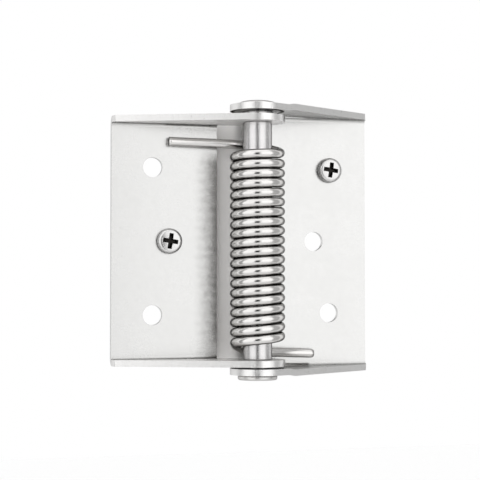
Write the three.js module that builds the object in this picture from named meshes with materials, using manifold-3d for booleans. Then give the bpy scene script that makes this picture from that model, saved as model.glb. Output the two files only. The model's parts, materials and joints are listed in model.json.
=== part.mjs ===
// Self-closing door hinge of the surface-mounted kind: two pressed sheet leaves turn on one
// riveted pin, and a torsion spring wound round a sleeve on the pin pushes the swing leaf
// back to its stop. Millimetres. +Z runs up the pin, +X goes from the pin to the fixed leaf's
// free edge, +Y goes into the wall. The origin is on the fixed leaf's back face, behind the
// pin and at mid height. The leaves are shown opened flat, with the swing leaf on its stop.

import * as THREE from 'three';
import { mergeVertices } from 'three/addons/utils/BufferGeometryUtils.js';
import Module from 'manifold-3d';

const wasm = await Module();
wasm.setup();

// Driving dimensions.
const SHEET = 2.0; // thickness of both leaves
const BEND_INNER = 1.0; // inside radius of the bends between plate and ears
const STOP_GAP = 0.3; // air left between the swing plate's back and the fixed plate's front
const REST_GAP = 0.1; // air left between faces that bear on each other along the pin
const AXIS_DEPTH = 15.7; // from the fixed leaf's back face out to the pin's axis
const EYE_RADIUS = 8.6; // round end of each ear
const FIXED_HEIGHT = 83.8; // over the fixed leaf's ears, which are the outer pair
const FIXED_REACH = 40.5; // from the pin's axis to the fixed leaf's free edge
const FIXED_TONGUE = 13.5; // how far the fixed plate runs on past the pin, behind the swing plate
const SWING_HEIGHT = 77.8; // over the swing leaf's ears, which are the inner pair
const SWING_REACH = 44.0;
const SWING_INSET = 10.2; // from the pin's axis to the swing plate's inner edge
const SWING_DROP = 0.4; // the swing leaf's own weight takes up the play downwards
const PIN_RADIUS = 3.0;
const SLEEVE_RADIUS = 4.55;
const WASHER_RADIUS = 4.8;
const RUNNING = 0.2; // radial clearance of the sleeve, washers and swing eyes on the pin
const DOME_RADIUS = 5.75;
const DOME_HEIGHT = 1.3;
const DOME_RIM = 0.15; // height of the dome's upright edge
const FLAT_HEAD_RADIUS = 6.15;
const FLAT_HEAD_HEIGHT = 1.5;
const WIRE_RADIUS = 1.45;
const COIL_RADIUS = 7.15; // to the middle of the wire
const COIL_PITCH = 3.0;
const COIL_TOP = 26.2; // height of the highest turn where it crosses the front
const COIL_TURNS = 19; // whole turns between the highest and the lowest front crossing
const HOLE_RADIUS = 3.1;
const HOLE_RISE = 23.2; // screw holes above and below the middle one
const FIXED_HOLE_EDGES = [12.5, 17.7]; // outer and middle holes, in from the leaf's free edge
const SWING_HOLE_EDGES = [13.1, 18.3];
const SCREW_HEAD_RADIUS = 4.0;
const SCREW_HEAD_HEIGHT = 2.6;
const SCREW_LENGTH = 16.0;
const SCREW_RADIUS = 2.0;
const ROUND_SIDES = 48;

const AXIS_Y = -AXIS_DEPTH;
const FIXED_BACK = 0;
const SWING_BACK = FIXED_BACK - SHEET - STOP_GAP;
const COIL_BOTTOM = COIL_TOP - COIL_TURNS * COIL_PITCH;

const satinSteel = { color: 0xd6d6d4, roughness: 0.38, metalness: 1.0 };
const brightSteel = { color: 0xe2e2e0, roughness: 0.22, metalness: 1.0 };

// Solids and booleans.

function toSolid(geometry) {
  const shell = geometry.clone();
  shell.deleteAttribute('normal');
  shell.deleteAttribute('uv');
  const merged = mergeVertices(shell, 1e-4);
  return new wasm.Manifold(new wasm.Mesh({
    numProp: 3,
    vertProperties: merged.attributes.position.array,
    triVerts: new Uint32Array(merged.index.array),
  }));
}

function toGeometry(solid) {
  const mesh = solid.getMesh();
  const geometry = new THREE.BufferGeometry();
  geometry.setAttribute('position', new THREE.BufferAttribute(mesh.vertProperties, 3));
  geometry.setIndex(new THREE.BufferAttribute(mesh.triVerts, 1));
  return geometry;
}

function cut(body, ...tools) {
  return tools.reduce((rest, tool) => rest.subtract(toSolid(tool)), body);
}

function named(name, geometry, finish) {
  geometry.computeVertexNormals();
  const mesh = new THREE.Mesh(geometry, new THREE.MeshStandardMaterial(finish));
  mesh.name = name;
  return mesh;
}

// A rod along Z, used for bores, and one along Y, used for screw holes.

function rodAlongZ(radius, low, high, y) {
  const rod = new THREE.CylinderGeometry(radius, radius, high - low, ROUND_SIDES);
  return rod.rotateX(Math.PI / 2).translate(0, y, (low + high) / 2);
}

function rodAlongY(radius, x, z, low, high) {
  const rod = new THREE.CylinderGeometry(radius, radius, high - low, ROUND_SIDES);
  return rod.translate(x, (low + high) / 2, z);
}

// A turned piece from a profile of [radius, height] points, standing on the pin's axis.

function turned(profile) {
  const points = profile.map(([radius, height]) => new THREE.Vector2(radius, height));
  const solid = new THREE.LatheGeometry(points, ROUND_SIDES).rotateX(Math.PI / 2);
  return toGeometry(toSolid(solid)).translate(0, AXIS_Y, 0);
}

function ring(inner, outer, low, high) {
  return turned([[inner, low], [outer, low], [outer, high], [inner, high], [inner, low]]);
}

// Leaves. Each is a bent channel, seen along X, trimmed to an outline seen from above.

function channel(height, back, from, to) {
  const outer = BEND_INNER + SHEET;
  const top = height / 2;
  const front = AXIS_Y - 2 * EYE_RADIUS;
  const bend = back - outer;
  const profile = new THREE.Shape();
  profile.moveTo(front, -top);
  profile.absarc(bend, -top + outer, outer, -Math.PI / 2, 0, false);
  profile.absarc(bend, top - outer, outer, 0, Math.PI / 2, false);
  profile.lineTo(front, top);
  profile.lineTo(front, top - SHEET);
  profile.absarc(bend, top - outer, BEND_INNER, Math.PI / 2, 0, true);
  profile.absarc(bend, -top + outer, BEND_INNER, 0, -Math.PI / 2, true);
  profile.lineTo(front, -top + SHEET);
  profile.closePath();
  const bar = new THREE.ExtrudeGeometry(profile, {
    depth: to - from,
    bevelEnabled: false,
    curveSegments: 6,
  });
  const depthAlongY = new THREE.Matrix4().makeBasis(
    new THREE.Vector3(0, 1, 0),
    new THREE.Vector3(0, 0, 1),
    new THREE.Vector3(1, 0, 0),
  );
  return toSolid(bar.applyMatrix4(depthAlongY).translate(from, 0, 0));
}

// The angle at which a straight edge from a point touches the eye, on the side given by turn:
// +1 for the edge nearer the front, -1 for the one nearer the wall.

function touchAngle(x, y, turn) {
  const away = Math.hypot(x, y - AXIS_Y);
  return Math.atan2(y - AXIS_Y, x) - turn * Math.acos(EYE_RADIUS / away);
}

// Outline from above of a leaf that lies towards +X: the plate's strip, the tapered ear and
// the eye. shoulder is the last point of the ear's front edge, heel the first of its rear edge.

function leafOutline(reach, back, shoulder, heel, innerEnd) {
  const outline = new THREE.Shape();
  outline.moveTo(innerEnd, back);
  outline.lineTo(reach, back);
  outline.lineTo(reach, back - SHEET - BEND_INNER);
  outline.lineTo(...shoulder);
  const frontTouch = touchAngle(...shoulder, 1);
  const rearTouch = touchAngle(...heel, -1);
  outline.absarc(0, AXIS_Y, EYE_RADIUS, frontTouch, rearTouch - 2 * Math.PI, true);
  outline.lineTo(...heel);
  if (innerEnd < heel[0]) {
    outline.lineTo(innerEnd, heel[1]);
  }
  outline.closePath();
  return outline;
}

function leaf(height, reach, back, outline, holeEdges, boreRadius) {
  const blank = new THREE.ExtrudeGeometry(outline, {
    depth: height + 2,
    bevelEnabled: false,
    curveSegments: 20,
  });
  const trimmed = channel(height, back, -reach - 1, reach + 1)
    .intersect(toSolid(blank.translate(0, 0, -height / 2 - 1)));
  const [outerX, middleX] = holeEdges.map((inFromEdge) => reach - inFromEdge);
  const hole = (x, z) => rodAlongY(HOLE_RADIUS, x, z, back - 2 * SHEET, back + SHEET);
  return cut(
    trimmed,
    rodAlongZ(boreRadius, -height, height, AXIS_Y),
    hole(outerX, HOLE_RISE),
    hole(outerX, -HOLE_RISE),
    hole(middleX, 0),
  );
}

function fixedLeaf() {
  const plateFront = FIXED_BACK - SHEET;
  const shoulder = [FIXED_REACH - 0.7, plateFront - 2.6];
  const heel = [9.5, plateFront];
  const outline = leafOutline(FIXED_REACH, FIXED_BACK, shoulder, heel, -FIXED_TONGUE);
  const bore = PIN_RADIUS + REST_GAP;
  const solid = leaf(FIXED_HEIGHT, FIXED_REACH, FIXED_BACK, outline, FIXED_HOLE_EDGES, bore);
  return named('fixed_leaf', toGeometry(solid), satinSteel);
}

function swingLeaf() {
  const shoulder = [SWING_REACH - 0.6, SWING_BACK - SHEET - 3.2];
  const heel = [SWING_INSET, SWING_BACK];
  const outline = leafOutline(SWING_REACH, SWING_BACK, shoulder, heel, SWING_INSET);
  const bore = PIN_RADIUS + RUNNING;
  const solid = leaf(SWING_HEIGHT, SWING_REACH, SWING_BACK, outline, SWING_HOLE_EDGES, bore);
  const mirrored = solid.mirror([1, 0, 0]);
  return named('swing_leaf', toGeometry(mirrored), satinSteel).translateZ(-SWING_DROP);
}

// Pin: a rivet with a low dome above and a flat closed head below.

function hingePin() {
  const seat = FIXED_HEIGHT / 2 + REST_GAP;
  const dome = [];
  const steps = 8;
  for (let step = 0; step <= steps; step += 1) {
    const angle = (step / steps) * (Math.PI / 2);
    const rise = DOME_RIM + (DOME_HEIGHT - DOME_RIM) * Math.sin(angle);
    dome.push([DOME_RADIUS * Math.cos(angle), seat + rise]);
  }
  dome[steps][0] = 0;
  const profile = [
    [0, -seat - FLAT_HEAD_HEIGHT],
    [FLAT_HEAD_RADIUS - 0.3, -seat - FLAT_HEAD_HEIGHT],
    [FLAT_HEAD_RADIUS, -seat - FLAT_HEAD_HEIGHT + 0.3],
    [FLAT_HEAD_RADIUS, -seat],
    [PIN_RADIUS, -seat],
    [PIN_RADIUS, seat],
    [DOME_RADIUS, seat],
    ...dome,
  ];
  return named('hinge_pin', turned(profile), brightSteel);
}

// Pieces that sit on the pin.

function pinSleeve() {
  const half = SWING_HEIGHT / 2 - SHEET - REST_GAP;
  const tube = ring(PIN_RADIUS + RUNNING, SLEEVE_RADIUS, -half - SWING_DROP, half - SWING_DROP);
  return named('pin_sleeve', tube, brightSteel);
}

function washer(name, low, high) {
  const disc = ring(PIN_RADIUS + RUNNING, WASHER_RADIUS, low + REST_GAP, high - REST_GAP);
  return named(name, disc, brightSteel);
}

// Torsion spring. From its upper leg the wire goes round the pin and down, and leaves at the
// bottom along the fixed plate.

class SpringPath extends THREE.Curve {
  constructor(upperLeg, lowerLeg) {
    super();
    this.route = [...upperLeg, ...SpringPath.coil(), ...lowerLeg];
    this.spline = new THREE.CatmullRomCurve3(this.route, false, 'centripetal');
  }

  static coil() {
    const points = [];
    const stepsPerTurn = 16;
    const first = -stepsPerTurn / 8;
    const last = (COIL_TURNS + 0.25) * stepsPerTurn;
    for (let step = first; step <= last; step += 1) {
      const turn = step / stepsPerTurn;
      const angle = -Math.PI / 2 - turn * 2 * Math.PI;
      points.push(new THREE.Vector3(
        COIL_RADIUS * Math.cos(angle),
        AXIS_Y + COIL_RADIUS * Math.sin(angle),
        COIL_TOP - turn * COIL_PITCH,
      ));
    }
    return points;
  }

  getPoint(t, target = new THREE.Vector3()) {
    return this.spline.getPoint(t, target);
  }
}

function torsionSpring() {
  const swingFront = SWING_BACK - SHEET;
  const fixedFront = FIXED_BACK - SHEET;
  const lay = WIRE_RADIUS + REST_GAP;
  const behind = AXIS_Y + COIL_RADIUS;
  const side = COIL_RADIUS * Math.SQRT1_2;
  const at = (x, y, z) => new THREE.Vector3(x, y, z);
  const upperLeg = [
    at(-26.1, swingFront - lay, 30.9),
    at(-20.0, swingFront - lay - 0.3, 30.75),
    at(-13.0, swingFront - lay - 1.0, 30.6),
    at(-6.0, behind + 0.7, 30.35),
    at(0, behind, 30.0),
    at(side, AXIS_Y + side, 28.8),
    at(COIL_RADIUS, AXIS_Y, 27.35),
  ];
  const lowerLeg = [
    at(-side, AXIS_Y + side, COIL_BOTTOM - 2.6),
    at(0, behind, COIL_BOTTOM - 4.3),
    at(6.0, behind + 1.1, COIL_BOTTOM - 4.7),
    at(11.0, fixedFront - lay - 1.9, COIL_BOTTOM - 4.9),
    at(16.0, fixedFront - lay - 0.6, COIL_BOTTOM - 5.15),
    at(22.0, fixedFront - lay, COIL_BOTTOM - 5.4),
  ];
  const wire = new THREE.Shape();
  wire.absarc(0, 0, WIRE_RADIUS, 0, 2 * Math.PI, false);
  const geometry = new THREE.ExtrudeGeometry(wire, {
    extrudePath: new SpringPath(upperLeg, lowerLeg),
    steps: 16 * (COIL_TURNS + 2),
    curveSegments: 4,
  });
  return named('torsion_spring', toGeometry(toSolid(geometry)), brightSteel);
}

// Wood screws with pan heads, driven in from the front.

function screw(name, x, z, plateFront) {
  const neck = SCREW_HEAD_RADIUS - 0.9;
  const profile = [
    [0, -SCREW_LENGTH],
    [SCREW_RADIUS, -SCREW_LENGTH + 4],
    [SCREW_RADIUS, 0],
    [SCREW_HEAD_RADIUS, 0],
    [SCREW_HEAD_RADIUS, 1.4],
    [neck, SCREW_HEAD_HEIGHT - 0.3],
    [1.5, SCREW_HEAD_HEIGHT],
    [0, SCREW_HEAD_HEIGHT],
  ];
  const points = profile.map(([radius, height]) => new THREE.Vector2(radius, height));
  const body = new THREE.LatheGeometry(points, 32).rotateX(Math.PI);
  const placed = toGeometry(toSolid(body)).translate(x, plateFront - REST_GAP, z);
  return named(name, placed, brightSteel);
}

const fixedInner = FIXED_HEIGHT / 2 - SHEET;
const swingTop = SWING_HEIGHT / 2 - SWING_DROP;
const swingBottom = -SWING_HEIGHT / 2 - SWING_DROP;

const hinge = new THREE.Group();
hinge.add(
  fixedLeaf(),
  swingLeaf(),
  hingePin(),
  pinSleeve(),
  washer('upper_washer', swingTop, fixedInner),
  washer('lower_washer', -fixedInner, swingBottom),
  torsionSpring(),
  screw('fixed_leaf_screw', FIXED_REACH - FIXED_HOLE_EDGES[0], HOLE_RISE, FIXED_BACK - SHEET),
  screw('swing_leaf_screw', -SWING_REACH + SWING_HOLE_EDGES[1], -SWING_DROP, SWING_BACK - SHEET),
);

export default hinge;
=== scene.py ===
import json
import math

import bmesh
import bpy
from mathutils import Matrix, Vector


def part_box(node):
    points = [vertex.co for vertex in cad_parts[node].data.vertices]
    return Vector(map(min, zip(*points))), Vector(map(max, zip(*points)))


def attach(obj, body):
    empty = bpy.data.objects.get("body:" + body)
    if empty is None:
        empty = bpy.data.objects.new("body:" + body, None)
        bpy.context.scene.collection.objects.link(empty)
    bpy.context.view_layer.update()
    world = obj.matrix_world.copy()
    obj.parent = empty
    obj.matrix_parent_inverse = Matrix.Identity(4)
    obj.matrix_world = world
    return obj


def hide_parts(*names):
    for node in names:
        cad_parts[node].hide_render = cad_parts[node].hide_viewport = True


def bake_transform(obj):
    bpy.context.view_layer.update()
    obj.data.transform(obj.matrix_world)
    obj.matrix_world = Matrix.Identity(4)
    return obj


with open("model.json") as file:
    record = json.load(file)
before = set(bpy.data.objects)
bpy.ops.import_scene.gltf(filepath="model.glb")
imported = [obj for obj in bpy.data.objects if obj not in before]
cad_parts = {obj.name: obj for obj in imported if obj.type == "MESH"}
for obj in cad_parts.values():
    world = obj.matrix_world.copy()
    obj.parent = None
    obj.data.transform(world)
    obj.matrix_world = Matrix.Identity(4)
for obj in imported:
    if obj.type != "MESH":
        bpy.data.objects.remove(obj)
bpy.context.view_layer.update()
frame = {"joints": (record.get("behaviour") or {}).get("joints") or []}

# ---------------------------------------------------------------------------------------
# The studio. The hinge hangs in a white room, over a pale floor. The camera looks almost
# level, a little from the swing leaf's side. The steel mirrors the room, two tall softboxes,
# one overhead and a few darker cards.
# ---------------------------------------------------------------------------------------

MM = 0.001

scene = bpy.context.scene
scene.view_settings.view_transform = "Standard"
scene.view_settings.look = "None"

door_swing = next(j for j in frame["joints"] if j["name"] == "door_swing")
pin = Vector(door_swing["pos_m"])

VIEW_AZIMUTH = -15
VIEW_ELEVATION = -1.9
VIEW_DISTANCE = 420 * MM
AIM_LEFT_OF_PIN = 5.44 * MM
AIM_HEIGHT = -0.17 * MM


def outward(azimuth, elevation):
    """The unit vector from the hinge towards a place in the room."""
    a = math.radians(azimuth)
    e = math.radians(elevation)
    return Vector((math.sin(a) * math.cos(e), -math.cos(a) * math.cos(e), math.sin(e)))


def facing(place, target):
    """A frame at a place whose -Z looks at a target."""
    turn = (target - place).to_track_quat("-Z", "Y")
    return Matrix.LocRotScale(place, turn, None)


view_right = Vector((math.cos(math.radians(VIEW_AZIMUTH)), math.sin(math.radians(VIEW_AZIMUTH)), 0))
aim = Vector((pin.x, pin.y, AIM_HEIGHT)) - view_right * AIM_LEFT_OF_PIN
lens = bpy.data.cameras.new("studio_camera")
lens.sensor_width = 36
lens.lens = 101.25
lens.clip_start = 0.01
camera = bpy.data.objects.new("studio_camera", lens)
camera.matrix_world = facing(aim + outward(VIEW_AZIMUTH, VIEW_ELEVATION) * VIEW_DISTANCE, aim)
scene.collection.objects.link(camera)
scene.camera = camera


def softbox(name, azimuth, elevation, width, height, brightness, distance=0.7):
    """An even rectangular light, placed by its direction from the hinge relative to the
    camera's. Its brightness adds to the white of the room behind it."""
    lamp = bpy.data.lights.new(name, "AREA")
    lamp.shape = "RECTANGLE"
    lamp.size = width
    lamp.size_y = height
    lamp.energy = math.pi * width * height * brightness
    box = bpy.data.objects.new(name, lamp)
    box.matrix_world = facing(outward(VIEW_AZIMUTH + azimuth, elevation) * distance, Vector())
    box.visible_camera = False
    scene.collection.objects.link(box)


def card(name, azimuth, elevation, width, height, grey, distance=0.6):
    """A flat card that only the steel's reflections see, placed as the softboxes are."""
    plane = bmesh.new()
    bmesh.ops.create_grid(plane, x_segments=1, y_segments=1, size=0.5)
    bmesh.ops.scale(plane, vec=(width, height, 1), verts=plane.verts)
    place = facing(outward(VIEW_AZIMUTH + azimuth, elevation) * distance, Vector())
    bmesh.ops.transform(plane, matrix=place, verts=plane.verts)
    mesh = bpy.data.meshes.new(name)
    plane.to_mesh(mesh)
    plane.free()
    paper = bpy.data.materials.new(name)
    paper.use_nodes = True
    paper.node_tree.nodes.clear()
    glow = paper.node_tree.nodes.new("ShaderNodeEmission")
    glow.inputs["Color"].default_value = (grey, grey, grey, 1)
    end = paper.node_tree.nodes.new("ShaderNodeOutputMaterial")
    paper.node_tree.links.new(glow.outputs[0], end.inputs["Surface"])
    mesh.materials.append(paper)
    sheet = bpy.data.objects.new(name, mesh)
    sheet.visible_camera = False
    sheet.visible_shadow = False
    scene.collection.objects.link(sheet)


softbox("left_softbox", -38, 6, 0.6, 0.9, 0.28)
softbox("right_softbox", 40, 6, 0.6, 0.9, 0.37)
softbox("top_softbox", 0, 72, 0.9, 0.4, 0.3)
card("lens_card", 0, 0, 0.15, 0.36, 0.02, distance=0.45)
card("left_flag", -74, 0, 0.2, 1.8, 0.42)
card("right_flag", 86, 0, 0.42, 1.8, 0.55)
card("upper_flag", 180, 42, 1.1, 0.5, 0.35)

FLOOR_DEPTH = 450 * MM
FLOOR_SPAN = 6.0
boards = bmesh.new()
bmesh.ops.create_grid(boards, x_segments=1, y_segments=1, size=FLOOR_SPAN / 2)
bmesh.ops.translate(boards, vec=(0, 0, -FLOOR_DEPTH), verts=boards.verts)
floor_mesh = bpy.data.meshes.new("floor")
boards.to_mesh(floor_mesh)
boards.free()
floor_paint = bpy.data.materials.new("floor_paint")
floor_paint.use_nodes = True
paint = floor_paint.node_tree.nodes["Principled BSDF"]
paint.inputs["Base Color"].default_value = (0.88, 0.88, 0.88, 1)
paint.inputs["Roughness"].default_value = 0.9
floor_mesh.materials.append(floor_paint)
studio_floor = bpy.data.objects.new("floor", floor_mesh)
scene.collection.objects.link(studio_floor)

ROOM_WHITE = 1.12
BACKDROP_WHITE = 1.0

room = bpy.data.worlds.new("white_room")
room.use_nodes = True
scene.world = room
nodes = room.node_tree.nodes
nodes.clear()
seen = nodes.new("ShaderNodeLightPath")
backdrop = nodes.new("ShaderNodeMapRange")
backdrop.inputs["To Min"].default_value = ROOM_WHITE
backdrop.inputs["To Max"].default_value = BACKDROP_WHITE
glow = nodes.new("ShaderNodeBackground")
glow.inputs["Color"].default_value = (1, 1, 1, 1)
end = nodes.new("ShaderNodeOutputWorld")
room.node_tree.links.new(seen.outputs["Is Camera Ray"], backdrop.inputs["Value"])
room.node_tree.links.new(backdrop.outputs["Result"], glow.inputs["Strength"])
room.node_tree.links.new(glow.outputs["Background"], end.inputs["Surface"])

# ---------------------------------------------------------------------------------------
# The fixed leaf. One pressing of 2 mm stainless sheet with a matt rolled finish: a plate with
# three punched screw holes and two ears bent forward, whose round eyes stand a little inside
# their arms. A tongue of the plate runs on behind the pin and stops the other leaf.
# ---------------------------------------------------------------------------------------

SHEET = 2.0 * MM
BEND = 1.0 * MM
TIP_RADIUS = 0.6 * MM
TONGUE_CORNER = 1.5 * MM
EYE_RADIUS = 8.6 * MM
PIN_RADIUS = 3.0 * MM
HOLE_RADIUS = 3.1 * MM
HOLE_RISE = 23.2 * MM
FIXED_HOLE_EDGES = (12.5 * MM, 17.7 * MM)
JOGGLE = 0.4 * MM
RELIEF = 1.6 * MM
EDGE_ROUND = 0.22 * MM
HOLE_SEGMENTS = 56
# Painted shade: the near-black colour painted into the gaps between the eyes and at the rivet's seam.
PAINTED_GAP_SHADE = (0.06, 0.05, 0.042, 1)


class Wire:
    """A value on its way through a material. Arithmetic on it adds Math nodes."""

    def __init__(self, finish, socket):
        self.finish = finish
        self.socket = socket

    def maths(self, operation, first, second=0):
        return self.finish.node("ShaderNodeMath", {"operation": operation}, {0: first, 1: second})

    def __add__(self, other):
        return self.maths("ADD", self, other)

    def __sub__(self, other):
        return self.maths("SUBTRACT", self, other)

    def __mul__(self, other):
        return self.maths("MULTIPLY", self, other)

    def __rsub__(self, other):
        return self.maths("SUBTRACT", other, self)

    def __abs__(self):
        return self.maths("ABSOLUTE", self)

    def sine(self):
        return self.maths("SINE", self)

    def above(self, limit):
        return self.maths("GREATER_THAN", self, limit)

    def below(self, limit):
        return self.maths("LESS_THAN", self, limit)

    __radd__ = __add__


class Finish:
    """A material under construction."""

    def __init__(self, name):
        self.material = bpy.data.materials.new(name)
        self.material.use_nodes = True
        self.tree = self.material.node_tree
        self.tree.nodes.clear()

    def node(self, kind, settings=None, inputs=None, output=0):
        made = self.tree.nodes.new(kind)
        for name, value in (settings or {}).items():
            if name == "stops":
                self.set_stops(made.color_ramp, value)
            else:
                setattr(made, name, value)
        for name, value in (inputs or {}).items():
            if isinstance(value, Wire):
                self.tree.links.new(value.socket, made.inputs[name])
            else:
                made.inputs[name].default_value = value
        return Wire(self, made.outputs[output])

    def set_stops(self, ramp, stops):
        for index, (position, value) in enumerate(stops):
            stop = ramp.elements[index] if index < 2 else ramp.elements.new(position)
            stop.position = position
            stop.color = (value, value, value, 1)

    def place(self, stretch=(1, 1, 1)):
        """Object coordinates in millimetres, stretched along the piece's axes."""
        here = self.node("ShaderNodeTexCoord", output="Object")
        scale = [1000 * s for s in stretch]
        return self.node("ShaderNodeMapping", {}, {"Vector": here, "Scale": scale})

    def noise(self, where, scale, detail=3.0, roughness=0.55):
        values = {"Vector": where, "Scale": scale, "Detail": detail, "Roughness": roughness}
        return self.node("ShaderNodeTexNoise", {}, values, output="Fac")

    def ramp(self, value, stops):
        return self.node("ShaderNodeValToRGB", {"stops": stops}, {"Fac": value})

    def mix(self, amount, first, second):
        colors = {"Factor": amount, 6: first, 7: second}
        return self.node("ShaderNodeMix", {"data_type": "RGBA"}, colors, output=2)

    def tint(self, amount, dark, light):
        return self.mix(amount, (*dark, 1), (*light, 1))

    def axis(self, where, name):
        return self.node("ShaderNodeSeparateXYZ", {}, {0: where}, output=name)

    def rise(self, value, start, end):
        """0 on start's side, 1 on end's side, with a smooth step between."""
        values = {"Value": value, "From Min": start, "From Max": end}
        smooth = {"interpolation_type": "SMOOTHSTEP"}
        return self.node("ShaderNodeMapRange", smooth, values, output="Result")

    def from_pin(self):
        """Distance from the pin's axis in millimetres."""
        here = self.node("ShaderNodeTexCoord", output="Object")
        middle = [-1000 * pin.x, -1000 * pin.y, 0]
        flat = {"Vector": here, "Scale": (1000, 1000, 0), "Location": middle}
        across = self.node("ShaderNodeMapping", {}, flat)
        return self.node("ShaderNodeVectorMath", {"operation": "LENGTH"}, {0: across}, output="Value")

    def bump(self, height, distance, onto=None):
        values = {"Height": height, "Distance": distance}
        if onto is not None:
            values["Normal"] = onto
        return self.node("ShaderNodeBump", {}, values, output="Normal")

    def steel(self, color, roughness, normal, edge_tint=0.6, metallic=1.0):
        values = {"Base Color": color, "Metallic": metallic, "Roughness": roughness, "Normal": normal}
        values["Specular Tint"] = (edge_tint, edge_tint, edge_tint, 1)
        shader = self.node("ShaderNodeBsdfPrincipled", {}, values, output="BSDF")
        self.node_out(shader)
        return self.material

    def node_out(self, shader):
        end = self.tree.nodes.new("ShaderNodeOutputMaterial")
        self.tree.links.new(shader.socket, end.inputs["Surface"])


def rolled_sheet(name, node, middle, has_tongue):
    """Matt rolled stainless: a fine grain, faint clouds of dullness, and a few handling rubs.
    The insides of the bends are darkened with painted shade, and the eyes' facing sides carry a painted
    dark ring for the shade in the gap between them.
    A tongue keeps the matt white of the pickling bath. A leaf with none keeps some of it inside
    its ears, and its plate carries the spring's shadow and reflection as a painted dark band, scalloped
    by the turns. All sizes are millimetres."""
    finish = Finish(name)
    where = finish.place()
    across, depth, height = (finish.axis(where, letter) for letter in "XYZ")
    clouds = finish.noise(where, 0.09, detail=4)
    patches = finish.noise(where, 0.45, detail=4)
    grain = finish.noise(where, 5.5, detail=2)
    rub_lines = finish.noise(finish.place((0.5, 1, 9)), 0.35, detail=5, roughness=0.7)
    rubs = finish.ramp(rub_lines, [(0.56, 0.0), (0.72, 1.0)])
    mottle = clouds * 0.6 + patches * 0.3 + grain * 0.25
    color = finish.tint(mottle - 0.1, (0.56, 0.558, 0.55), (0.69, 0.688, 0.68))
    roughness = 0.2 + clouds * 0.08 + grain * 0.05 - rubs * 0.03

    low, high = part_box(node)
    inner = 1000 * ((high.z - low.z) / 2 - SHEET)
    face = 1000 * (high.y - SHEET)
    level = abs(height - middle)
    # Painted shade: the inside of each bend, where the crease falls into shade, is darkened.
    painted_crease_shade = finish.rise(level, inner - 1.2, inner - 0.7) * finish.rise(level, inner + 0.25, inner + 0.1)
    painted_crease_shade = painted_crease_shade * finish.rise(depth, face - 1.5, face - 1.0)
    painted_crease_shade = painted_crease_shade * finish.rise(depth, face + 0.25, face + 0.1)
    shade = painted_crease_shade * 0.12
    if not has_tongue:
        # Painted shade: a dark band on the plate beside the spring, scalloped once for each turn, stands
        # in for the spring's shadow and reflection.
        band_clear_at, band_full_at = -17.0, -7.6
        band_top, band_top_full = 31.0, 24.0
        turn_wave = 2 * math.pi / 3.0
        band_edge = across + (height * turn_wave).sine() * 0.22 + patches * 2.6
        painted_spring_shade = finish.rise(band_edge, band_clear_at, band_full_at) * finish.rise(height, band_top, band_top_full)
        painted_spring_shade = painted_spring_shade * finish.rise(depth, face + 0.9, face + 0.7)
        shade = shade + painted_spring_shade * (0.58 + patches * 0.4)
    # Painted shade: the crease and spring shade darken the sheet towards this near-black.
    color = finish.mix(shade, color, (0.10, 0.095, 0.09, 1))
    if has_tongue:
        tongue = finish.rise(across, -1.0, -5.0) * finish.rise(depth, -0.8, -1.2)
        color = finish.mix(tongue, color, (0.97, 0.955, 0.94, 1))
        roughness = roughness + tongue * 0.25
        metallic = 1.0 - tongue
    else:
        ears = finish.rise(level, inner - 0.3, inner - 0.1) * finish.rise(level, inner + 0.3, inner + 0.1)
        ears = ears * finish.rise(depth, face - 1.0, face - 2.0) * 0.7
        color = finish.mix(ears, color, (0.90, 0.885, 0.87, 1))
        metallic = 1.0 - ears

    # Painted shade: a dark ring on the eyes' facing sides, round the pin, stands in for the shade in the
    # gap between the eyes.
    gap_foot, gap_top = 38.3, 39.95
    rim = 1000 * EYE_RADIUS
    from_middle = abs(height)
    radius = finish.from_pin()
    gap_shade_ring = from_middle.above(gap_foot) * from_middle.below(gap_top)
    gap_shade_ring = gap_shade_ring * finish.rise(radius, rim, rim - 0.4) * finish.rise(radius, 6.6, 7.8)
    color = finish.mix(gap_shade_ring, color, PAINTED_GAP_SHADE)
    roughness = roughness + gap_shade_ring * 0.25

    wave = finish.bump(finish.noise(where, 0.05, detail=1), 0.05 * MM)
    normal = finish.bump(grain, 0.004 * MM, onto=wave)
    return finish.steel(color, roughness, normal, metallic=metallic)


def sheared_edge():
    """The cut edge of the sheet: burnished by the punch, then torn in short upright streaks."""
    finish = Finish("sheared_edge")
    streaks = finish.noise(finish.place((3, 3, 0.6)), 0.9, detail=4, roughness=0.65)
    clouds = finish.noise(finish.place(), 0.25)
    color = finish.tint(streaks * 0.7 + clouds * 0.3, (0.68, 0.675, 0.665), (0.83, 0.825, 0.82))
    normal = finish.bump(streaks, 0.05 * MM)
    return finish.steel(color, 0.22 + streaks * 0.16, normal)


def wire_loop(metal, points):
    """Closes a ring of edges through points and returns its edges."""
    corners = [metal.verts.new(point) for point in points]
    return [metal.edges.new((a, b)) for a, b in zip(corners, corners[1:] + corners[:1])]


def ring_of_edges(metal, radius, matrix):
    made = bmesh.ops.create_circle(metal, segments=HOLE_SEGMENTS, radius=radius, matrix=matrix)
    return list({edge for corner in made["verts"] for edge in corner.link_edges})


def arc(middle, radius, start, stop, steps):
    """Points round a circle, from one angle to another."""
    angles = [start + (stop - start) * step / steps for step in range(steps + 1)]
    return [(middle[0] + radius * math.cos(a), middle[1] + radius * math.sin(a)) for a in angles]


def rounded(before, corner, after, radius, steps=5):
    """The corner between two straight edges, rounded to a radius."""
    corner = Vector(corner)
    into = (Vector(before) - corner).normalized()
    out = (Vector(after) - corner).normalized()
    half = into.angle(out) / 2
    middle = corner + (into + out).normalized() * radius / math.sin(half)
    first = (corner + into * radius / math.tan(half) - middle).normalized()
    last = (corner + out * radius / math.tan(half) - middle).normalized()
    spokes = [first.slerp(last, step / steps) for step in range(steps + 1)]
    return [tuple(middle + spoke * radius) for spoke in spokes]


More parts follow.
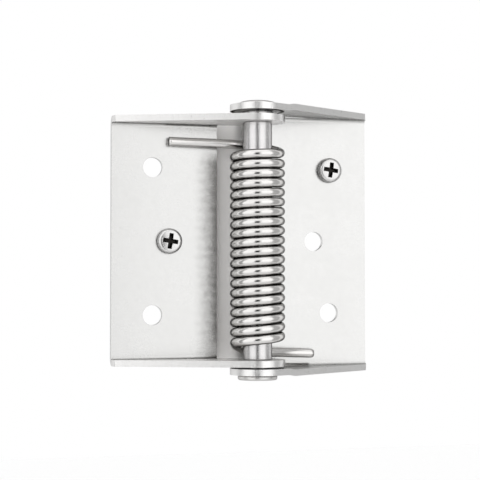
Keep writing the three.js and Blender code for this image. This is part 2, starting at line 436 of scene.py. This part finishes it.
def ear_outline(reach, heel, shoulder, bend_end):
    """An ear seen from above, lying towards +X from the pin: base, tapered arm and round eye."""

    def touch(point, turn):
        away = Vector(point) - pin.xy
        return math.atan2(away.y, away.x) - turn * math.acos(EYE_RADIUS / away.length)

    foot = (heel, bend_end)
    eye = arc(pin.xy, EYE_RADIUS, touch(shoulder, 1), touch(foot, -1) - 2 * math.pi, 48)
    tip = rounded((reach, bend_end), shoulder, eye[0], TIP_RADIUS)
    return [foot, (reach, bend_end), *tip, *eye]


def plate_outline(reach, heel, tongue, bend_start, tongue_top):
    """The flat plate seen from the front. Its tongue ends in rounded corners, and a relief slot
    parts it from each bend. A plate with no tongue is a plain rectangle."""
    upper = [(reach, bend_start), (heel, bend_start)]
    if tongue:
        slot_foot = bend_start - RELIEF / 2
        corner = (-tongue, tongue_top)
        upper += [(heel, slot_foot), (heel - RELIEF, slot_foot), (heel - RELIEF, tongue_top)]
        upper += rounded((heel - RELIEF, tongue_top), corner, (-tongue, 0), TONGUE_CORNER)
    lower = [(x, -z) for x, z in reversed(upper)]
    return upper + lower


def joggle(metal, half):
    """Sets each arm out from its eye by a small step that fades towards the bend."""
    near = EYE_RADIUS + 0.1 * MM
    far = near + 2.6 * MM
    middle = 20 * MM
    fade = 34 * MM
    cuts = [near + (far - near) * share for share in (0, 0.25, 0.5, 0.75, 1)] + [middle]
    for x in cuts:
        everything = metal.verts[:] + metal.edges[:] + metal.faces[:]
        bmesh.ops.bisect_plane(metal, geom=everything, plane_co=(x, 0, 0), plane_no=(1, 0, 0))
    for corner in metal.verts:
        if abs(corner.co.z) > half - 0.01 * MM and corner.co.x > near:
            share = min((corner.co.x - near) / (far - near), 1)
            step = share * share * (3 - 2 * share) * JOGGLE
            step *= min(max((fade - corner.co.x) / (fade - far), 0), 1)
            corner.co.z += math.copysign(step, corner.co.z)


def is_fold(edge, heel, bend_start):
    """True for the plate's level edges that the bends start from."""
    a, b = (corner.co for corner in edge.verts)
    level = abs(a.z - b.z) < 0.01 * MM
    return level and abs(a.z) > bend_start - 0.01 * MM and min(a.x, b.x) > heel - 0.01 * MM


def pressed_leaf(name, node, heel, shoulder, tongue, towards, hole_edges, eye_bore, skin):
    """A leaf made as one skin, the plate's front and the ears' inner faces, then given its
    thickness. It is laid out towards +X and turned over for the leaf on the other side."""
    low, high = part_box(node)
    reach = max(abs(low.x), high.x)
    face = high.y - SHEET
    middle = (low.z + high.z) / 2
    half = (high.z - low.z) / 2 - SHEET
    bend_start = half - BEND
    bend_end = face - BEND
    shoulder = (reach - shoulder[0], bend_end - shoulder[1])
    metal = bmesh.new()

    def punched(x, z):
        spin = Matrix.Translation((x, face, z)) @ Matrix.Rotation(math.pi / 2, 4, "X")
        return ring_of_edges(metal, HOLE_RADIUS, spin)

    outline = plate_outline(reach, heel, tongue, bend_start, half)
    plate = wire_loop(metal, [(x, face, z) for x, z in outline])
    fold = [edge for edge in plate if is_fold(edge, heel, bend_start)]
    plate += punched(reach - hole_edges[0], HOLE_RISE)
    plate += punched(reach - hole_edges[0], -HOLE_RISE)
    plate += punched(reach - hole_edges[1], 0)
    bmesh.ops.triangle_fill(metal, use_beauty=True, edges=plate)
    for edge in fold:
        side = math.copysign(1, edge.verts[0].co.z)
        bmesh.ops.spin(
            metal,
            geom=[edge],
            cent=(0, bend_end, side * bend_start),
            axis=(1, 0, 0),
            angle=side * math.pi / 2,
            steps=8,
        )
    for side in (1, -1):
        outline = ear_outline(reach, heel, shoulder, bend_end)
        ear = wire_loop(metal, [(x, y, side * half) for x, y in outline])
        ear += ring_of_edges(metal, eye_bore, Matrix.Translation((pin.x, pin.y, side * half)))
        bmesh.ops.triangle_fill(metal, use_beauty=True, edges=ear)
    bmesh.ops.remove_doubles(metal, verts=metal.verts, dist=0.01 * MM)
    if tongue:
        joggle(metal, half)
    if towards < 0:
        bmesh.ops.scale(metal, vec=(-1, 1, 1), verts=metal.verts)
    bmesh.ops.translate(metal, vec=(0, 0, middle), verts=metal.verts)
    bmesh.ops.recalc_face_normals(metal, faces=metal.faces)
    front = max((f for f in metal.faces if abs(f.normal.y) > 0.99), key=lambda f: f.calc_area())
    if front.normal.y > 0:
        bmesh.ops.reverse_faces(metal, faces=metal.faces)
    leaf = finished(name, metal, [skin, sheared_edge_steel])
    wall = leaf.modifiers.new("sheet_thickness", "SOLIDIFY")
    wall.thickness = SHEET
    wall.offset = -1
    wall.use_even_offset = True
    wall.material_offset_rim = 1
    soften(leaf, EDGE_ROUND)
    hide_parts(node)
    return leaf


def finished(name, metal, materials):
    """Puts a bmesh into the scene as a smooth-shaded piece."""
    mesh = bpy.data.meshes.new(name)
    for surface in metal.faces:
        surface.smooth = True
    metal.to_mesh(mesh)
    metal.free()
    for material in materials:
        mesh.materials.append(material)
    piece = bpy.data.objects.new(name, mesh)
    scene.collection.objects.link(piece)
    return piece


def soften(piece, width, segments=3):
    """Rounds the sharp edges and keeps the flats flat."""
    edge = piece.modifiers.new("rounded_edges", "BEVEL")
    edge.width = width
    edge.segments = segments
    edge.limit_method = "ANGLE"
    edge.angle_limit = math.radians(40)
    edge.miter_outer = "MITER_ARC"
    flats = piece.modifiers.new("flat_faces", "WEIGHTED_NORMAL")
    flats.keep_sharp = True


sheared_edge_steel = sheared_edge()

fixed_leaf = pressed_leaf(
    "fixed_leaf_pressing",
    "fixed_leaf",
    heel=9.5 * MM,
    shoulder=(0.7 * MM, 1.6 * MM),
    tongue=-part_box("fixed_leaf")[0].x,
    towards=1,
    hole_edges=FIXED_HOLE_EDGES,
    eye_bore=PIN_RADIUS + 0.1 * MM,
    skin=rolled_sheet("fixed_sheet", "fixed_leaf", 0.0, has_tongue=True),
)
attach(fixed_leaf, "frame_leaf")

# ---------------------------------------------------------------------------------------
# The swing leaf. The same sheet, with its ears inside the fixed leaf's. Its arms are straight
# and taper from the plate's free edge to the eyes, and its back rests on the tongue.
# ---------------------------------------------------------------------------------------

SWING_HOLE_EDGES = (13.1 * MM, 18.3 * MM)

swing_leaf = pressed_leaf(
    "swing_leaf_pressing",
    "swing_leaf",
    heel=10.2 * MM,
    shoulder=(0.6 * MM, 2.2 * MM),
    tongue=0,
    towards=-1,
    hole_edges=SWING_HOLE_EDGES,
    eye_bore=PIN_RADIUS + 0.2 * MM,
    skin=rolled_sheet("swing_sheet", "swing_leaf", -0.4, has_tongue=False),
)
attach(swing_leaf, "door_leaf")

# ---------------------------------------------------------------------------------------
# The pin. A stainless rivet: a low dome on the top eye, and below the bottom eye a flat head
# closed in the press, with a faint rim where the tool bore on it and an undercut with painted shade at
# its seam.
# ---------------------------------------------------------------------------------------


def turned_steel(name, color, dull, lines, seam=None):
    """Bright turned or drawn steel with fine lines, stretched by lines along the piece. Painted shade
    darkens the pin from the seam under the lower eye up to its middle, where the seam's height in
    millimetres is given."""
    finish = Finish(name)
    where = finish.place()
    marks = finish.noise(finish.place(lines), 1.4, detail=4, roughness=0.6)
    clouds = finish.noise(where, 0.3)
    specks = finish.noise(where, 3.2, detail=3, roughness=0.7)
    light = tuple(c * 1.16 for c in color)
    dark = tuple(c * 0.74 for c in color)
    shade = finish.tint(clouds * 0.4 + marks * 0.3 + specks * 0.3, dark, light)
    if seam is not None:
        # Painted shade: the pin is darkened from the seam under the lower eye up to its middle.
        height = finish.axis(where, "Z")
        seam_shade = finish.rise(height, seam - 0.5, seam - 0.3) * finish.rise(height, 0, -1)
        shade = finish.mix(seam_shade * 0.8, shade, PAINTED_GAP_SHADE)
    roughness = dull + marks * 0.08 + specks * 0.08
    normal = finish.bump(specks, 0.02 * MM, onto=finish.bump(marks, 0.014 * MM))
    return finish.steel(shade, roughness, normal, edge_tint=0.35)


def turned(name, profile, materials, middle=None, steps=72, edge_round=0.15 * MM):
    """A piece turned round the pin's axis from an open or closed profile of (radius, height)."""
    metal = bmesh.new()
    corners = [metal.verts.new((radius, 0, height)) for radius, height in profile]
    rims = [metal.edges.new(pair) for pair in zip(corners, corners[1:])]
    if profile[0][0] > 0:
        rims.append(metal.edges.new((corners[-1], corners[0])))
    bmesh.ops.spin(
        metal,
        geom=corners + rims,
        cent=(0, 0, 0),
        axis=(0, 0, 1),
        angle=2 * math.pi,
        steps=steps,
        use_merge=True,
    )
    bmesh.ops.remove_doubles(metal, verts=metal.verts, dist=0.002 * MM)
    bmesh.ops.recalc_face_normals(metal, faces=metal.faces)
    if middle is not None:
        bmesh.ops.translate(metal, vec=middle, verts=metal.verts)
    piece = finished(name, metal, materials)
    if edge_round:
        soften(piece, edge_round)
    return piece


on_pin = Vector((pin.x, pin.y, 0))
pin_low, pin_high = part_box("hinge_pin")
EYE_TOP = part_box("fixed_leaf")[1].z
EYE_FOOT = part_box("fixed_leaf")[0].z
rivet_steel = turned_steel("rivet_steel", (0.66, 0.65, 0.64), 0.26, (1, 1, 1), 1000 * EYE_FOOT)
DOME_RADIUS = 5.75 * MM
HEAD_RADIUS = (pin_high.x - pin_low.x) / 2
DOME_LIP = 0.5 * MM
HEAD_DISH = 0.12 * MM
HEAD_CHAMFER = 0.35 * MM
UNDERCUT = 0.45 * MM
SEAT = 0.02 * MM

dome = [
    (DOME_RADIUS * math.cos(a), EYE_TOP + DOME_LIP + (pin_high.z - EYE_TOP - DOME_LIP) * math.sin(a))
    for a in (math.pi / 2 * step / 14 for step in range(14))
]
head_foot = pin_low.z
rivet_profile = [
    (0, head_foot + HEAD_DISH),
    (HEAD_RADIUS - 1.5 * MM, head_foot + HEAD_DISH),
    (HEAD_RADIUS - 1.15 * MM, head_foot),
    (HEAD_RADIUS - HEAD_CHAMFER, head_foot),
    (HEAD_RADIUS, head_foot + HEAD_CHAMFER),
    (HEAD_RADIUS, EYE_FOOT - UNDERCUT),
    (HEAD_RADIUS - UNDERCUT, EYE_FOOT - SEAT),
    (PIN_RADIUS, EYE_FOOT - SEAT),
    (PIN_RADIUS, EYE_TOP + SEAT),
    (DOME_RADIUS, EYE_TOP + SEAT),
    *dome,
    (0, pin_high.z),
]
rivet = turned("rivet_pin", rivet_profile, [rivet_steel], middle=on_pin)
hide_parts("hinge_pin")
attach(rivet, "frame_leaf")

# ---------------------------------------------------------------------------------------
# The sleeve and the washers. A length of drawn tube turns on the pin between the inner ears
# and keeps the spring off it. A thick washer above and a thin one below space the eyes.
# ---------------------------------------------------------------------------------------

tube_steel = turned_steel("tube_steel", (0.66, 0.65, 0.65), 0.18, (3, 3, 0.12))
RUNNING = 0.2 * MM


def collar(name, node, body, edge_round):
    """A tube or washer on the pin, the size of its CAD node."""
    low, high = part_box(node)
    outside = (high.x - low.x) / 2
    inside = PIN_RADIUS + RUNNING
    profile = [(inside, low.z), (outside, low.z), (outside, high.z), (inside, high.z)]
    piece = turned(name, profile, [tube_steel], middle=on_pin, edge_round=edge_round)
    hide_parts(node)
    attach(piece, body)
    return piece


collar("sleeve_tube", "pin_sleeve", "sleeve", 0.25 * MM)
collar("thick_washer", "upper_washer", "frame_leaf", 0.2 * MM)
collar("thin_washer", "lower_washer", "frame_leaf", 0.12 * MM)

# ---------------------------------------------------------------------------------------
# The torsion spring. One length of drawn spring wire, wound right-handed with its turns laid
# on each other. The cut upper leg bears on the swing leaf and the chamfered lower leg on the
# fixed leaf, so the coil winds up as the leaf is opened.
# ---------------------------------------------------------------------------------------

WIRE_RADIUS = 1.45 * MM
COIL_RADIUS = 7.15 * MM
COIL_PITCH = 3.0 * MM
COIL_TOP = 26.2 * MM
COIL_TURNS = 19
COIL_LEAN = 0.032
COIL_FOOT = COIL_TOP - COIL_TURNS * COIL_PITCH
POINTS_PER_TURN = 40
LAY = WIRE_RADIUS + 0.08 * MM
CHAMFER_SHARE = 0.8


def spring_wire():
    """Drawn wire: bright, with faint die lines and a slightly brown heat tint. Painted shade darkens the
    wire's inner side, towards the sleeve, along the coil."""
    finish = Finish("spring_wire")
    where = finish.place()
    clouds = finish.noise(where, 0.35, detail=4)
    lines = finish.noise(finish.place((0.5, 0.5, 9)), 0.9, detail=4, roughness=0.65)
    color = finish.tint(clouds * 0.6 + lines * 0.4, (0.60, 0.585, 0.57), (0.77, 0.76, 0.75))
    height = finish.axis(where, "Z")
    # Painted shade: the wire's inner side, towards the sleeve, is darkened as shade between the turns.
    painted_turn_shade = finish.rise(finish.from_pin(), 8.2, 7.6)
    painted_turn_shade = painted_turn_shade * finish.rise(height, 28.4, 27.2) * finish.rise(height, -34.5, -32.5)
    color = finish.mix(painted_turn_shade * 0.7, color, (0.08, 0.07, 0.062, 1))
    roughness = 0.1 + lines * 0.08 + clouds * 0.06
    return finish.steel(color, roughness, finish.bump(lines, 0.004 * MM), edge_tint=0.25)


def smooth_leg(points, steps=10):
    """A Catmull-Rom line through listed points, without its first and last guide points."""
    route = []
    for a, b, c, d in zip(points, points[1:], points[2:], points[3:]):
        for step in range(steps):
            t = step / steps
            curve = 2 * b + (c - a) * t + (2 * a - 5 * b + 4 * c - d) * t * t
            route.append((curve + (3 * b - a - 3 * c + d) * t ** 3) / 2)
    return route


def coil_point(turn):
    """A point on the wire's middle, counted in turns down from the highest front crossing. The
    turns lean a little, one way at the top and the other at the foot, where the legs pull."""
    angle = -math.pi / 2 - turn * 2 * math.pi
    around = Vector((math.cos(angle), math.sin(angle), 0)) * COIL_RADIUS
    lean = COIL_LEAN * (2 * turn / COIL_TURNS - 1) * around.x
    return on_pin + around + Vector((0, 0, COIL_TOP - turn * COIL_PITCH + lean))


def spring_route():
    """The wire's middle line. The legs' outermost points only guide the curve."""
    swing_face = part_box("swing_leaf")[1].y - SHEET
    fixed_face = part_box("fixed_leaf")[1].y - SHEET
    behind = pin.y + COIL_RADIUS
    side = COIL_RADIUS * math.sqrt(0.5)
    upper = [
        (-33.0 * MM, swing_face - LAY, 31.05 * MM),
        (-26.1 * MM, swing_face - LAY, 30.9 * MM),
        (-20.0 * MM, swing_face - LAY - 0.3 * MM, 30.75 * MM),
        (-13.0 * MM, swing_face - LAY - 1.0 * MM, 30.6 * MM),
        (-6.0 * MM, behind + 0.7 * MM, 30.35 * MM),
        (0, behind, 30.0 * MM),
        (side, pin.y + side, 28.8 * MM),
        (COIL_RADIUS, pin.y, 27.35 * MM),
    ]
    lower = [
        (-side, pin.y + side, COIL_FOOT - 2.6 * MM),
        (0, behind, COIL_FOOT - 4.3 * MM),
        (6.0 * MM, behind + 1.1 * MM, COIL_FOOT - 4.7 * MM),
        (11.0 * MM, fixed_face - LAY - 1.9 * MM, COIL_FOOT - 4.9 * MM),
        (16.0 * MM, fixed_face - LAY - 0.6 * MM, COIL_FOOT - 5.15 * MM),
        (22.0 * MM, fixed_face - LAY, COIL_FOOT - 5.4 * MM),
        (27.0 * MM, fixed_face - LAY, COIL_FOOT - 5.7 * MM),
    ]
    first = -0.125
    last = COIL_TURNS + 0.25
    count = round((last - first) * POINTS_PER_TURN)
    coil = [coil_point(first + (last - first) * step / count) for step in range(count + 1)]
    head = smooth_leg([Vector(p) for p in upper] + [coil[0], coil[4]])
    tail = smooth_leg([coil[-5], coil[-1]] + [Vector(p) for p in lower])
    return head + coil[:-1] + tail + [Vector(lower[-2])]


def torsion_spring():
    route = spring_route()
    line = bpy.data.curves.new("spring_line", "CURVE")
    line.dimensions = "3D"
    line.bevel_depth = WIRE_RADIUS
    line.bevel_resolution = 6
    line.use_fill_caps = True
    spline = line.splines.new("POLY")
    spline.points.add(len(route) - 1)
    for point, place in zip(spline.points, route):
        point.co = (*place, 1)
    spline.points[-1].radius = CHAMFER_SHARE
    swept = bpy.data.objects.new("spring_line", line)
    scene.collection.objects.link(swept)
    bpy.context.view_layer.update()
    metal = bmesh.new()
    metal.from_mesh(swept.to_mesh())
    bpy.data.objects.remove(swept)
    bmesh.ops.remove_doubles(metal, verts=metal.verts, dist=0.005 * MM)
    bmesh.ops.recalc_face_normals(metal, faces=metal.faces)
    wound = finished("torsion_coil", metal, [spring_wire()])
    for surface in wound.data.polygons:
        surface.use_smooth = len(surface.vertices) <= 4
    return wound


coil = torsion_spring()
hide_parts("torsion_spring")
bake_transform(coil)

# ---------------------------------------------------------------------------------------
# The screws. Rolled stainless No. 8 wood screws with pan heads and cross recesses, driven
# through the plates. The two differ only in where they sit; both are turned by the same angle.
# ---------------------------------------------------------------------------------------

HEAD_REACH = 4.0 * MM
HEAD_HEIGHT = 2.6 * MM
CORE_RADIUS = 1.45 * MM
THREAD_RADIUS = 2.0 * MM
THREAD_PITCH = 1.55 * MM
THREAD_TURNS = 8
POINT_LENGTH = 4.0 * MM
RECESS_REACH = 2.75 * MM
RECESS_WIDTH = 1.5 * MM
RECESS_DEPTH = 1.9 * MM
RECESS_TAPER = 0.6


def screw_blank(name, length):
    """Head and shank, standing on the plate along +Z."""
    crown = [
        (2.75 * MM + 1.25 * MM * math.cos(a), 1.05 * MM + 1.3 * MM * math.sin(a))
        for a in (math.pi / 2 * step / 6 for step in range(7))
    ]
    profile = [
        (0, -length),
        (0.25 * MM, -length + 0.3 * MM),
        (CORE_RADIUS, -length + POINT_LENGTH),
        (CORE_RADIUS, -1.6 * MM),
        (THREAD_RADIUS, -1.0 * MM),
        (THREAD_RADIUS, 0),
        (HEAD_REACH - 0.15 * MM, 0),
        (HEAD_REACH, 0.15 * MM),
        *crown,
        (1.6 * MM, HEAD_HEIGHT - 0.06 * MM),
        (0, HEAD_HEIGHT),
    ]
    return turned(name, profile, [screw_steel], steps=56, edge_round=0)


def cross_cutter():
    """The driver's cross: four arms that narrow towards the bottom."""
    cutter = bmesh.new()
    half = RECESS_WIDTH / 2
    for turn in (0, math.pi / 2):
        top = bmesh.ops.create_grid(cutter, x_segments=1, y_segments=1, size=1)
        bmesh.ops.scale(cutter, vec=(RECESS_REACH, half, 1), verts=top["verts"])
        bmesh.ops.rotate(cutter, matrix=Matrix.Rotation(turn, 3, "Z"), verts=top["verts"])
        faces = list({f for v in top["verts"] for f in v.link_faces})
        down = bmesh.ops.extrude_face_region(cutter, geom=faces)
        floor = [v for v in down["geom"] if isinstance(v, bmesh.types.BMVert)]
        bmesh.ops.scale(cutter, vec=(RECESS_TAPER, RECESS_TAPER, 1), verts=floor)
        bmesh.ops.translate(cutter, vec=(0, 0, -RECESS_DEPTH), verts=floor)
    bmesh.ops.translate(cutter, vec=(0, 0, HEAD_HEIGHT + 0.3 * MM), verts=cutter.verts)
    return cutter


def carved(piece, cutter):
    """Cuts a closed tool out of a piece and returns the result as a bmesh."""
    bmesh.ops.recalc_face_normals(cutter, faces=cutter.faces)
    tool = finished("tool", cutter, [recess_black])
    cut = piece.modifiers.new("cut", "BOOLEAN")
    cut.object = tool
    cut.solver = "EXACT"
    cut.material_mode = "TRANSFER"
    cut.use_self = True
    bpy.context.view_layer.update()
    result = bmesh.new()
    seen_now = piece.evaluated_get(bpy.context.evaluated_depsgraph_get())
    result.from_mesh(seen_now.to_mesh())
    bpy.data.objects.remove(tool)
    bpy.data.objects.remove(piece)
    return result


def thread(metal, length):
    """A helical ridge, spun from one tooth along the shank, that fades out on the point."""
    foot = -length + 0.6 * MM
    tooth = [(CORE_RADIUS * 0.9, -0.42 * MM), (THREAD_RADIUS, 0), (CORE_RADIUS * 0.9, 0.42 * MM)]
    corners = [metal.verts.new((radius, 0, foot + height)) for radius, height in tooth]
    loop = [metal.edges.new(pair) for pair in zip(corners, corners[1:] + corners[:1])]
    start = metal.faces.new(corners)
    steps = THREAD_TURNS * 28
    bmesh.ops.spin(
        metal,
        geom=corners + loop + [start],
        cent=(0, 0, 0),
        axis=(0, 0, 1),
        dvec=(0, 0, THREAD_PITCH * THREAD_TURNS / steps),
        angle=2 * math.pi * THREAD_TURNS,
        steps=steps,
    )


def pan_screw(name, node, body, turn):
    low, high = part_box(node)
    length = high.y - low.y - HEAD_HEIGHT
    metal = carved(screw_blank(name, length), cross_cutter())
    ridge = bmesh.new()
    thread(ridge, length)
    point_top = -length + POINT_LENGTH
    for corner in ridge.verts:
        share = min(max((corner.co.z + length) / POINT_LENGTH, 0.12), 1)
        if corner.co.z < point_top:
            corner.co.xy *= share
    bmesh.ops.recalc_face_normals(ridge, faces=ridge.faces)
    part = bpy.data.meshes.new("ridge")
    ridge.to_mesh(part)
    ridge.free()
    metal.from_mesh(part)
    bpy.data.meshes.remove(part)
    seat = Vector(((low.x + high.x) / 2, low.y + HEAD_HEIGHT, (low.z + high.z) / 2))
    place = Matrix.Translation(seat) @ Matrix.Rotation(math.pi / 2, 4, "X")
    bmesh.ops.transform(metal, matrix=place @ Matrix.Rotation(turn, 4, "Z"), verts=metal.verts)
    screw = finished(name, metal, [screw_steel, recess_black])
    soften(screw, 0.06 * MM, segments=2)
    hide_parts(node)
    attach(screw, body)


def painted_recess_shade():
    """The faces of a driver's cross, painted near-black as the shade inside the recess."""
    finish = Finish("painted_recess_shade")
    spots = finish.noise(finish.place(), 2.5)
    color = finish.tint(spots, (0.012, 0.011, 0.01), (0.05, 0.048, 0.045))
    return finish.steel(color, 0.45 + spots * 0.2, finish.bump(spots, 0.02 * MM))


# Painted shade: the recess faces are near-black as the shade inside the cross.
recess_black = painted_recess_shade()
screw_steel = turned_steel("screw_steel", (0.68, 0.675, 0.67), 0.18, (1, 1, 1))
pan_screw("fixed_leaf_pan_screw", "fixed_leaf_screw", "frame_leaf", math.radians(-8.5))
pan_screw("swing_leaf_pan_screw", "swing_leaf_screw", "door_leaf", math.radians(-8.5))
